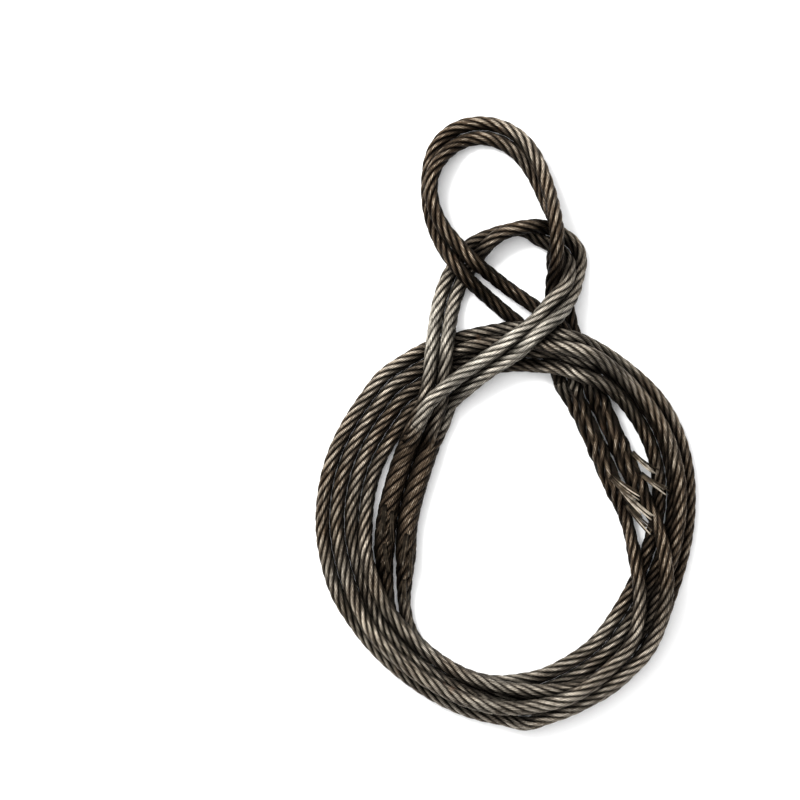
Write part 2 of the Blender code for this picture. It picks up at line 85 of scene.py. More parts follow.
# ---- the splices: tucked strands follow the rope's own in the lower ones, or cross them ----
# Each splice's tucked tail and standing rope: number of the section that ends at its throat,
# the way from there into the splice, and the length in which a strand goes round once.
STRETCHES = {("lower", "tail"): (0, -1, 0.074), ("lower", "standing"): (1, 1, 0.074),
             ("upper", "standing"): (2, -1, 0.080), ("upper", "tail"): (3, 1, 0.240)}
BEYOND = 0.020  # rope past the last tuck that is still treated as splice
WEAVE = {"lower": 0.0002, "upper": 0.0009}  # how far strands bulge over and dip under
PAIRED = math.radians(21.0)  # between a tucked strand and the one it follows
SPLICE_SHY = 0.0003  # that its strands stay inside the splice's own outline
PRESSED_IN = 0.0010  # that each splice gives where the two lie side by side
SPLICE_STRAND_R = 0.0024  # of a strand where it is slack in a splice
SPLICE_CORE_R = 0.0066
THROAT_RUN = 0.024  # length over which two legs close into a splice
BURIED_AT = 0.0012  # how near the axis the tucked strands end
BURIED_BY = 0.7  # share of the taper over which they sink to there
BURIED_THIN = 0.5  # share of their thickness that they lose on the way

# ---- grease, wear and painted shade: 0 or less where steel is dirty or in painted shade, 1 where it is bare, with a painted highlight ----
# How greasy the rope is: 0 where it is wiped clean, 1 where its strands are clogged.
EYE_GREASE = {"lower": (0.60, 0.12, 0.70, 0.35, 0.05, 0.35),
              "upper": (0.95, 0.90, 0.95, 0.50, 0.80, 0.95)}
# Round the coil: angle in degrees from +X, greasiness.
COIL_GREASE = [(0, 0.80), (60, 0.45), (100, 0.45), (135, 0.55), (180, 0.60), (225, 0.50),
               (270, 0.35), (310, 0.40), (340, 0.70), (360, 0.80)]
SPLICE_GREASE = {"lower": 0.95, "upper": 0.70}
BARE_AND_LIT_EDGE = (0.60, 1.40)  # narrows a strand's worn crown and its painted highlight: when clean, and more by grease
GROOVE_WEAR_AND_SHADE = 0.42  # wear and painted shade between two wires, as a share of those on top of one
WIRE_TINT = 0.12  # how much brighter or duller a wire may be
WIRE_DRIFT = 0.08  # how much each wire's brightness wanders along it
DRIFT_RUN = 0.047  # length of rope over which it does so once
DRIFT_APART = 9.0  # how far the wires are out of step in that
SCATTER = (12.9898, 78.233, 43758.5453)  # turn a wire's and a strand's number into a tint
SUNK_SHADE = 0.46  # painted shade, taken off the wear where a strand dips under another
COVERED = 0.10  # how far the strands of a lower splice cover each other, for their painted shade
PRESSED_SHADE = 0.42  # painted shade, taken off the wear where ropes press together or on the floor
UNDERSIDE_SHADE = 0.35  # share of that painted shade which the rope's underside has anyway
GREASE_DIRT = 0.26  # taken off it where the rope is clogged
LOOKS_AROUND = 24  # directions in which a rope's neighbours are felt for, to place its painted shade
LOOKS_STEP = 3  # sections between the places where that is done

# ---- the cut strands' wires ----
BROOM_WIRES = 7
BROOM_WIRE_R = 0.00060
BROOM_SIDES = 6
BROOM_SHARES = np.linspace(0.0, 1.0, 12)[:, None]  # of a wire's length, at its points
BROOM_ROW = 0.0004  # at the root, every other wire is raised by this and the rest lowered
BROOM_PITCH = {"lower": (0.00050, 0.00060), "upper": (0.00090, 0.00165)}  # apart, at root and tip
BROOM_STRAY = 0.0005  # how far the tips stray from that
BROOM_LATE = 1.6  # above 1, the wires splay nearer their tips
BROOM_REACH = (0.66, 1.0)  # shortest and longest wire, as shares of the CAD's strand
BROOM_SUNK = 0.3  # of TAIL_D, how deep its root lies in the splice
BROOM_ROOT = 0.2  # of its length, how far back along the splice it starts
BROOM_BOW = 0.10  # of its length, how high it arches
BROOM_BRIGHT = {"lower": 0.60, "upper": 1.25}
BROOM_DULL = 0.25  # brightness of the dullest wire, as a share of the brightest's
BROOM_FOOT = 0.35  # the same for a wire's root and its tip
BROOM_SEED = 11

# ---- colours, as ramp stops, and patterns, as (scale per metre, detail, strength) ----
CLEAN_WIRE = [(0.04, (0.0080, 0.0072, 0.0058)), (0.28, (0.060, 0.054, 0.044)),
              (0.55, (0.160, 0.147, 0.122)), (0.86, (0.460, 0.432, 0.375))]
BROWN_WIRE = [(0.06, (0.0048, 0.0031, 0.0017)), (0.34, (0.0250, 0.0168, 0.0102)),
              (0.60, (0.080, 0.056, 0.036)), (0.88, (0.370, 0.310, 0.238))]
CUT_WIRE = [(0.15, (0.008, 0.006, 0.004)), (0.50, (0.070, 0.053, 0.036)),
            (0.95, (0.600, 0.530, 0.430))]
CORE_BLACK = [(0.35, (0.006, 0.005, 0.004)), (0.70, (0.022, 0.016, 0.011))]
RUST = (0.095, 0.048, 0.024)
COARSE_DIRT = (120.0, 3.0, 0.45)
FINE_DIRT = (520.0, 3.0, 0.45)
GREASE_PATCHES = (26.0, 3.0, 0.8)
CUT_DIRT = (240.0, 4.0, 0.8)
RUST_PATCHES = (38.0, 6.0, 0.65)  # scale, detail, roughness
STEEL_GRAIN = 420.0  # scales of plain noise, per metre
STEEL_PITS = 1500.0
CUT_GRAIN = 500.0
CORE_MOTTLE = 300.0
CORE_PITS = 900.0

# ---- camera, light and floor ----
VIEW_CENTRE = (-0.0918, 0.0198)  # point of the floor in the middle of the picture
VIEW_WIDTH = 0.698  # width of floor that the picture takes in
LENS = 100.0
SENSOR = 36.0
KEY_PLACE = (-1.0, 1.05, 1.6)
KEY_SIZE = 0.60
KEY_WATTS = 42.0
LIGHT_FROM = (-0.42, 0.44, 0.79)  # the brightest part of the room, above and to the upper left
ROOM_BRIGHT = 2.6
ROOM_SHADES = ((0.15, 0.10), (0.55, 0.45), (0.90, 1.0))  # dot product with that direction, brightness
FLOOR_HALF = 4.0
FLOOR_PALE = (0.96, 0.96, 0.96)
FLOOR_GLOW = 0.03  # light of the floor's own, which keeps its shadows pale

# ---- the coil ----
COIL_CENTRE = (0.002, -0.088)
# Outer rim of the coil: angle in degrees from +X, radius.
COIL_RIM = [
    (0, 0.163), (30, 0.173), (60, 0.178), (90, 0.175), (120, 0.170), (150, 0.168),
    (180, 0.1665), (210, 0.165), (225, 0.164), (240, 0.165), (255, 0.172), (270, 0.178),
    (285, 0.179), (300, 0.179), (315, 0.171), (330, 0.161), (345, 0.159),
]
# Turns of each sling: angle run through, place in from the rim in diameters, level.
TURNS = {
    1: [(225, 1.9, 0), (240, 1.8, 0), (255, 1.7, 0), (270, 2.0, 0), (285, 2.6, 0), (300, 2.8, 0),
        (330, 2.2, 0), (360, 1.6, 0), (400, 1.2, 0), (420, 1.7, 1.0), (450, 2.1, 1.3), (480, 2.2, 0.8),
        (510, 2.4, 0.3), (540, 2.5, 0), (565, 2.4, 0.5), (585, 1.9, 1.2), (630, 1.7, 1.0),
        (650, 0.6, 0.5), (705, 0.5, 0.5), (735, 0.5, 0.8), (760, 0.5, 1.0), (790, 0.5, 2.0),
        (810, 0.5, 2.3), (840, 0.5, 1.6), (870, 0.5, 1.0), (900, 0.5, 0.8), (925, 0.5, 1.0),
        (945, 0.5, 2.2), (990, 0.5, 2.2), (1010, 0.8, 2.4), (1025, 1.0, 2.6)],
    2: [(225, 2.8, 0), (240, 2.7, 0), (255, 2.6, 0), (270, 2.95, 0), (285, 3.6, 0), (300, 3.8, 0),
        (330, 3.15, 0), (350, 3.1, 0), (362, 2.8, 0), (380, 2.4, 0), (400, 2.2, 0), (420, 2.6, 1.0),
        (450, 2.9, 1.3), (480, 3.1, 0.8), (510, 3.3, 0.3), (540, 3.5, 0), (565, 3.3, 0.5),
        (585, 2.6, 1.2), (630, 3.0, 1.3), (650, 2.2, 0.8), (665, 1.6, 0.5), (705, 1.4, 0.6),
        (735, 1.2, 1.0), (760, 1.25, 1.2), (790, 1.3, 2.0), (810, 1.35, 2.3), (840, 1.4, 1.6),
        (870, 1.5, 1.0), (900, 1.5, 0.8), (925, 1.4, 1.0), (945, 1.2, 2.6), (990, 1.5, 2.6),
        (1010, 1.75, 2.8), (1025, 1.9, 2.8)],
}
TURN_STEP = 6.0  # degrees between the points of a turn
EASE = np.linspace(-12.0, 12.0, 9)  # degrees that the coil's tables are evened out over

# ---- the rest of each sling, from the lower throat to the upper one ----
LOWER_SPLICE = {
    1: [(-0.079, -0.008, 3.0), (-0.086, -0.025, 1.8), (-0.093, -0.047, 0.8), (-0.100, -0.069, 0),
        (-0.104, -0.086, 0), (-0.1065, -0.104, 0), (-0.105, -0.121, 0), (-0.101, -0.139, 0),
        (-0.0995, -0.156, 0)],
    2: [(-0.064, -0.011, 3.0), (-0.068, -0.025, 2.0), (-0.075, -0.043, 0.9), (-0.082, -0.069, 0),
        (-0.0855, -0.086, 0), (-0.088, -0.104, 0), (-0.090, -0.121, 0), (-0.091, -0.139, 0),
        (-0.090, -0.156, 0)],
}
UPPER_SPLICE = {
    1: [(0.119, -0.206, 2.6), (0.128, -0.191, 2.6), (0.134, -0.174, 2.6), (0.138, -0.156, 2.4),
        (0.139, -0.139, 2.2), (0.138, -0.121, 2.0), (0.135, -0.095, 1.4), (0.1295, -0.082, 1.4),
        (0.121, -0.067, 1.3), (0.1125, -0.0515, 1.1), (0.1043, -0.034, 0.9), (0.0963, -0.017, 0.6),
        (0.0885, 0.001, 0.2), (0.080, 0.018, 0), (0.0725, 0.0375, 0)],
    2: [(0.107, -0.198, 2.6), (0.1135, -0.187, 2.6), (0.116, -0.174, 2.6), (0.117, -0.160, 2.4),
        (0.117, -0.1475, 2.2), (0.115, -0.130, 2.0), (0.110, -0.104, 1.4), (0.1065, -0.086, 0.9),
        (0.0998, -0.069, 0.4), (0.0923, -0.0515, 0), (0.0853, -0.034, 0), (0.0786, -0.017, 0),
        (0.0705, 0.001, 0), (0.063, 0.018, 0), (0.054, 0.036, 0)],
}
LOWER_EYE = {
    1: [(-0.077, 0, 4), (-0.070, 0.018, 4), (-0.0645, 0.040, 4), (-0.063, 0.062, 3.8),
        (-0.061, 0.084, 2.5), (-0.0575, 0.1055, 1), (-0.0515, 0.124, 0.2), (-0.042, 0.1405, 0),
        (-0.028, 0.1545, 0), (-0.009, 0.1655, 0), (0.013, 0.1705, 0), (0.033, 0.169, 0),
        (0.0455, 0.1615, 0), (0.0525, 0.151, 0), (0.053, 0.139, 0), (0.053, 0.128, 0.4),
        (0.050, 0.117, 1.4), (0.0435, 0.1065, 2.2), (0.0305, 0.091, 3), (0.013, 0.076, 4),
        (-0.0045, 0.064, 4.2), (-0.022, 0.053, 4.2), (-0.039, 0.041, 4.6), (-0.057, 0.027, 5.2),
        (-0.070, 0.016, 5.2), (-0.081, 0.0035, 4.6)],
    2: [(-0.059, -0.003, 4), (-0.055, 0.018, 4), (-0.053, 0.040, 4), (-0.0515, 0.062, 3.8),
        (-0.049, 0.084, 2.5), (-0.0455, 0.1055, 1), (-0.039, 0.123, 0.2), (-0.0305, 0.139, 0.3),
        (-0.0175, 0.157, 0.9), (0, 0.1675, 1.2), (0.022, 0.1715, 1.2), (0.040, 0.167, 1.2),
        (0.054, 0.157, 0.8), (0.0615, 0.147, 0.3), (0.064, 0.1335, 0.2), (0.063, 0.123, 0.6),
        (0.0585, 0.112, 1.4), (0.0505, 0.0995, 2.2), (0.0305, 0.078, 3.2), (0.013, 0.063, 4),
        (-0.0045, 0.0505, 4.2), (-0.022, 0.040, 4.2), (-0.039, 0.026, 4.6), (-0.0505, 0.0165, 5.2),
        (-0.060, 0.0025, 4.6)],
}
UPPER_EYE = {
    1: [(0.0665, 0.036, 0), (0.064, 0.0515, 0), (0.057, 0.066, 0.6), (0.046, 0.083, 0.8),
        (0.035, 0.096, 0.6), (0.013, 0.108, 0.4), (0, 0.118, 0.5), (-0.013, 0.1275, 1),
        (-0.027, 0.139, 2), (-0.0365, 0.1475, 2.6), (-0.0475, 0.158, 2.6), (-0.058, 0.172, 2.2),
        (-0.0655, 0.188, 1.8), (-0.067, 0.203, 1.6), (-0.065, 0.219, 1.2), (-0.058, 0.231, 0.6),
        (-0.0475, 0.2395, 0.2), (-0.0375, 0.2465, 0), (-0.025, 0.250, 0), (-0.013, 0.250, 0),
        (-0.001, 0.2465, 0), (0.0105, 0.239, 0), (0.0195, 0.2265, 0.2), (0.027, 0.213, 0.4),
        (0.033, 0.198, 0.8), (0.0385, 0.1835, 1.6), (0.043, 0.1685, 2.2), (0.0455, 0.154, 2.2),
        (0.047, 0.1405, 1.6), (0.048, 0.1275, 0.8), (0.048, 0.114, 0.2), (0.0485, 0.101, 0),
        (0.0515, 0.088, 0), (0.0575, 0.075, 0), (0.066, 0.062, 0), (0.075, 0.0505, 0),
        (0.0785, 0.039, 0)],
    2: [(0.049, 0.034, 0), (0.0445, 0.049, 0), (0.035, 0.062, 0), (0.022, 0.075, 0), (0.008, 0.088, 0),
        (-0.0115, 0.1055, 0.5), (-0.022, 0.114, 1), (-0.035, 0.124, 1.8), (-0.0445, 0.137, 2.4),
        (-0.054, 0.151, 2.2), (-0.061, 0.165, 1.6), (-0.067, 0.183, 1), (-0.068, 0.203, 0.6),
        (-0.067, 0.219, 0.3), (-0.065, 0.233, 0.2), (-0.0585, 0.246, 0), (-0.049, 0.255, 0),
        (-0.038, 0.2605, 0), (-0.025, 0.262, 0), (-0.0115, 0.2605, 0), (0.003, 0.2545, 0),
        (0.016, 0.2455, 0.3), (0.025, 0.2325, 0.8), (0.033, 0.216, 1.3), (0.0375, 0.200, 1.8),
        (0.041, 0.1845, 2.6), (0.043, 0.1685, 3.2), (0.0435, 0.154, 3.2), (0.0435, 0.1405, 2.6),
        (0.043, 0.1275, 1.8), (0.042, 0.114, 0.8), (0.042, 0.101, 0.2), (0.0445, 0.088, 0),
        (0.049, 0.075, 0), (0.053, 0.062, 0), (0.0575, 0.048, 0), (0.060, 0.0375, 0)],
}

# Cut strands: sling, end, distance of the root from the throat, its place round the splice in
# degrees (0 is level on the left-hand side seen from the throat, 90 is on top), and the tip.
CUT_STRANDS = [
    (1, "upper", 0.078, 35, (0.132, -0.0445, 0.0200)),
    (1, "upper", 0.099, 40, (0.141, -0.0605, 0.0220)),
    (2, "upper", 0.096, 78, (0.117, -0.0665, 0.0300)),
    (2, "upper", 0.108, 60, (0.126, -0.0835, 0.0290)),
    (2, "upper", 0.123, 50, (0.127, -0.0955, 0.0270)),
    (1, "lower", 0.084, 60, (-0.0985, -0.1055, 0.0215)),
    (1, "lower", 0.112, 85, (-0.101, -0.1315, 0.0185)),
    (1, "lower", 0.080, 110, (-0.108, -0.1025, 0.0215)),
    (2, "lower", 0.112, 62, (-0.0835, -0.1335, 0.0190)),
    (2, "lower", 0.138, 90, (-0.0885, -0.1555, 0.0160)),
    (2, "lower", 0.100, 95, (-0.091, -0.1245, 0.0205)),
]

LAYER = 1.12 * ROPE_D  # height of one level before the heap sinks
# Rounds of sinking: how many, drop in diameters, pull to the plan, stiffness, passes apart.
SINKING = [(150, 0.035, 0.35, 0.30, 3), (120, 0.012, 0.30, 0.25, 4), (50, 0.004, 0.10, 0.10, 6),
           (12, 0.0, 0.0, 0.02, 8)]


# ---- centrelines ----
def rim_radius(angle):
    """Radius of the coil's outer rim at an angle in degrees."""
    angles = [a for a, _ in COIL_RIM] + [360 + COIL_RIM[0][0]]
    radii = [r for _, r in COIL_RIM] + [COIL_RIM[0][1]]
    return float(np.mean(np.interp((angle + EASE) % 360.0, angles, radii)))


def coil_points(sling):
    """Points of one sling's turns, worked out from its table of places in the coil."""
    angles, places, levels = np.array(TURNS[sling], dtype=float).T
    count = int(round((angles[-1] - angles[0]) / TURN_STEP)) + 1
    points = []
    for angle in np.linspace(angles[0], angles[-1], count):
        place = np.mean(np.interp(angle + EASE, angles, places))
        level = np.mean(np.interp(angle + EASE, angles, levels))
        radius = rim_radius(angle) - place * ROPE_D
        turn = math.radians(angle)
        x = COIL_CENTRE[0] + radius * math.cos(turn)
        y = COIL_CENTRE[1] + radius * math.sin(turn)
        points.append((x, y, float(level)))
    return points


def arc_lengths(points):
    """Distance of each point along its line."""
    steps = np.linalg.norm(np.diff(points, axis=0), axis=1)
    return np.concatenate([[0.0], np.cumsum(steps)])


def resample(points, step):
    """The same line with points at equal steps."""
    along = arc_lengths(points)
    count = max(2, int(round(along[-1] / step))) + 1
    wanted = np.linspace(0.0, along[-1], count)
    return np.column_stack([np.interp(wanted, along, points[:, k]) for k in range(3)])


def soften(points, passes):
    """Rounds a line's corners and keeps its ends."""
    points = points.copy()
    for _ in range(passes):
        points[1:-1] += 0.5 * (0.5 * (points[:-2] + points[2:]) - points[1:-1])
    return points


def laid_line(route):
    """A route as it is first laid: levels become heights, and the line is evened out."""
    points = np.array(route, dtype=float)
    points[:, 2] = ROPE_D / 2 + points[:, 2] * LAYER
    return soften(resample(points, STEP), 3)


def tapered(depth, end):
    """How far a splice has tapered at a depth from its throat: 0 not yet, 1 all the way."""
    start = SPLICE_FULL * SPLICE_L[end]
    return np.clip((depth - start) / (SPLICE_L[end] - start), 0.0, 1.0)


def splice_radius(depth, end):
    """Radius of a splice at a depth from its throat; it tapers to the rope's own."""
    return SPLICE_D / 2 + tapered(depth, end) * (ROPE_D - SPLICE_D) / 2


def depths(body, end):
    """Distance of each point of a body from its lower or upper throat."""
    along = arc_lengths(body)
    return along if end == "lower" else along[-1] - along


def body_radii(body):
    """Radius along a body, from its lower throat to its upper one."""
    return np.maximum(*[splice_radius(depths(body, end), end) for end in SPLICE_L])


# ---- the heap sinks together ----
class Heap:
    """All centrelines together, with the pairs of stretches that could touch."""

    def __init__(self, lines, radii, joins):
        self.sizes = [len(line) for line in lines]
        self.starts = np.concatenate([[0], np.cumsum(self.sizes)[:-1]])
        self.x = np.concatenate(lines)
        self.plan = self.x[:, :2].copy()
        self.r = np.concatenate(radii)
        self.joins = joins
        self.line = np.concatenate([np.full(n, k) for k, n in enumerate(self.sizes)])
        ends = self.starts + np.array(self.sizes) - 1
        self.seg = np.setdiff1d(np.arange(len(self.x)), ends)
        self.inner = np.setdiff1d(self.seg, self.starts)
        self.leg_of = np.full(len(self.x), -1)
        self.throat_of = np.full(len(self.x), -1)
        for number, (eye, body, at_end) in enumerate(joins):
            for k in range(4):
                self.leg_of[self.starts[eye] + k] = number
                self.leg_of[ends[eye] - k] = number
                self.throat_of[ends[body] - k if at_end else self.starts[body] + k] = number

    def find_pairs(self):
        """Stretches of rope near enough to touch within the next few steps."""
        middle = 0.5 * (self.x[self.seg] + self.x[self.seg + 1])
        reach = STEP + SPLICE_D + ROPE_D
        gaps = np.linalg.norm(middle[:, None, :] - middle[None, :, :], axis=2)
        a, b = np.nonzero(np.triu(gaps < reach, 1))
        a, b = self.seg[a], self.seg[b]
        same = (self.line[a] == self.line[b]) & (np.abs(a - b) < 5)
        joined = (self.leg_of[a] >= 0) & (self.leg_of[a] == self.throat_of[b])
        joined |= (self.leg_of[b] >= 0) & (self.leg_of[b] == self.throat_of[a])
        keep = ~(same | joined)
        self.a, self.b = a[keep], b[keep]

    def push_apart(self):
        """One pass that moves overlapping stretches away from each other."""
        p, q = self.x[self.a], self.x[self.b]
        u, v = self.x[self.a + 1] - p, self.x[self.b + 1] - q
        w = p - q
        uu, vv, uv = (u * u).sum(1), (v * v).sum(1), (u * v).sum(1)
        uw, vw = (u * w).sum(1), (v * w).sum(1)
        s = np.clip((uv * vw - uw * vv) / np.maximum(uu * vv - uv * uv, 1e-15), 0, 1)
        t = np.clip((uv * s + vw) / vv, 0, 1)
        s = np.clip((uv * t - uw) / uu, 0, 1)
        apart = w + u * s[:, None] - v * t[:, None]
        gap = np.maximum(np.linalg.norm(apart, axis=1), 1e-9)
        wanted = self.r[self.a] + self.r[self.b] + CLEAR
        hit = gap < wanted
        s, t, a, b = s[hit], t[hit], self.a[hit], self.b[hit]
        weights = (1 - s) ** 2 + s ** 2 + (1 - t) ** 2 + t ** 2
        move = apart[hit] / gap[hit, None] * ((wanted[hit] - gap[hit]) / weights)[:, None]
        total = np.zeros_like(self.x)
        count = np.zeros(len(self.x))
        for node, share, sign in ((a, 1 - s, 1), (a + 1, s, 1), (b, 1 - t, -1), (b + 1, t, -1)):
            np.add.at(total, node, sign * share[:, None] * move)
            np.add.at(count, node, share)
        self.x += total / np.maximum(count, 1.0)[:, None]
        self.x[:, 2] = np.maximum(self.x[:, 2], self.r)

    def sink(self, drop, pull, stiffness):
        """One step down, held to the plan and stiffened like rope."""
        self.x[:, 2] -= drop
        self.x[:, :2] += pull * (self.plan - self.x[:, :2])
        near = self.inner
        bend = 0.5 * (self.x[near - 1] + self.x[near + 1]) - self.x[near]
        self.x[near] += stiffness * bend
        self.x[:, 2] = np.maximum(self.x[:, 2], self.r)

    def join_eyes(self):
        """Brings both legs of each eye to the throat that they are spliced into."""
        for eye, body, at_end in self.joins:
            first, last = self.starts[eye], self.starts[eye] + self.sizes[eye] - 1
            inward = -1 if at_end else 1
            throat = self.starts[body] + (self.sizes[body] - 1 if at_end else 0)
            legs = 0.5 * (self.x[first + 2] + self.x[last - 2])
            middle = 0.5 * (legs + self.x[throat + 2 * inward])
            self.x[throat] += 0.3 * (middle - self.x[throat])
            along, across = throat_frame(self.x[throat], self.x[throat + inward],
                                         self.x[first + 2], self.x[last - 2])
            for node, far, sign, held in (
                    (first, LEG_AHEAD, 1, 1.0), (last, LEG_AHEAD, -1, 1.0),
                    (first + 1, LEG_AHEAD + STEP, 1, 0.5), (last - 1, LEG_AHEAD + STEP, -1, 0.5)):
                place = self.x[throat] + far * along + sign * LEG_ASIDE * across
                self.x[node] += held * (place - self.x[node])


def throat_frame(throat, inside, leg_a, leg_b):
    """Direction out of a splice's throat, and the one from leg b to leg a across it."""
    along = (throat - inside) / np.linalg.norm(throat - inside)
    across = leg_a - leg_b
    across = across - along * float(across @ along)
    return along, across / np.linalg.norm(across)


def settled_lines():
    """Centrelines of both slings at rest: body, lower eye, upper eye for each."""
    lines, radii, joins = [], [], []
    for sling in (1, 2):
        body = laid_line(LOWER_SPLICE[sling] + coil_points(sling) + UPPER_SPLICE[sling])
        lines.append(body)
        radii.append(body_radii(body))
        for route, at_end in ((LOWER_EYE[sling], False), (UPPER_EYE[sling], True)):
            eye = laid_line(route)
            joins.append((len(lines), 3 * (sling - 1), at_end))
            lines.append(eye)
            radii.append(np.full(len(eye), ROPE_D / 2))
    heap = Heap(lines, radii, joins)
    for rounds, drop, pull, stiffness, passes in SINKING:
        for step in range(rounds):
            if step % 10 == 0:
                heap.find_pairs()
            heap.sink(drop * ROPE_D, pull, stiffness)
            heap.join_eyes()
            for _ in range(passes):
                heap.push_apart()
    parts = np.split(heap.x - np.array(MIDDLE), heap.starts[1:])
    return {sling: parts[3 * sling - 3:3 * sling] for sling in (1, 2)}


def point_at(points, distance):
    """Place at a distance along a line."""
    along = arc_lengths(points)
    return np.array([np.interp(distance, along, points[:, k]) for k in range(3)])


def with_throat(eye, throat, inside):
    """An eye's line with both its legs running straight into the splice's face."""
    along, across = throat_frame(throat, inside, eye[2], eye[-3])
    face = throat + GAP * along
    ahead = throat + LEG_AHEAD * along
    aside = LEG_ASIDE * across
    line = np.vstack([face + aside, ahead + aside, eye[1:-1], ahead - aside, face - aside])
    line[:, 2] = np.maximum(line[:, 2], ROPE_D / 2)
    return line


# ---- smooth lines through the settled points ----
def unit(vectors):
    """Vectors scaled to a length of one."""
    return vectors / np.linalg.norm(vectors, axis=-1)[..., None]


def smooth_step(share):
    """0 below 0, 1 above 1, and an easy rise between."""
    share = np.clip(share, 0.0, 1.0)
    return share * share * (3.0 - 2.0 * share)


def smooth_line(points, step):
    """A smooth curve through a line's points, sampled at even steps."""
    along = arc_lengths(points)
    slope = np.gradient(points, along, axis=0)
    wanted = np.linspace(0.0, along[-1], int(round(along[-1] / step)) + 1)
    k = np.clip(np.searchsorted(along, wanted, side="right") - 1, 0, len(points) - 2)
    width = (along[k + 1] - along[k])[:, None]
    t = (wanted - along[k])[:, None] / width
    start = (1 + 2 * t) * (1 - t) ** 2 * points[k] + t * (1 - t) ** 2 * width * slope[k]
    end = t * t * (3 - 2 * t) * points[k + 1] - t * t * (1 - t) * width * slope[k + 1]
    return start + end


def headings(line):
    """Direction of a line at each of its points."""
    return unit(np.gradient(line, axis=0))


def plan_frame(line):
    """The level direction to a line's left, and the one square to that and the line."""
    along = headings(line)
    left = unit(np.column_stack([-along[:, 1], along[:, 0], np.zeros(len(line))]))
    return left, np.cross(along, left)


def pressed_in(body, other):
    """A sling's body with its splices moved towards the other sling's, as rope gives."""
    moved = body.copy()
    for end, length in SPLICE_L.items():
        depth = depths(body, end)
        fades = smooth_step(depth / length * 2 - 1)  # over the second half
        share = smooth_step(depth / THROAT_RUN) * (1 - fades)
        ways = other[depths(other, end) < length][None, :, :] - body[:, None, :]
        nearest = np.argmin(np.linalg.norm(ways, axis=2), axis=1)
        towards = unit(ways[np.arange(len(body)), nearest] * (1.0, 1.0, 0.0))
        moved += PRESSED_IN * share[:, None] * towards
    return moved


def sling_sections(body, lower, upper):
    """A sling's line in order: lower tail, lower eye, standing rope, upper eye, upper tail."""
    tails, standing = [], body
    for end, eye, throat, inside, side in (("lower", lower, body[0], body[2], 1),
                                           ("upper", upper, body[-1], body[-3], -1)):
        depth = depths(body, end)
        across = throat_frame(throat, inside, eye[2], eye[-3])[1]
        shift = side * LEG_ASIDE * (1 - smooth_step(depth / THROAT_RUN))[:, None] * across
        tails.append((body + shift)[depth <= SPLICE_L[end]][::-1])
        standing = standing - shift
    lower, upper = smooth_line(lower, FINE / 2), smooth_line(upper, FINE / 2)
    return [tails[0], lower, standing, upper, tails[1]]


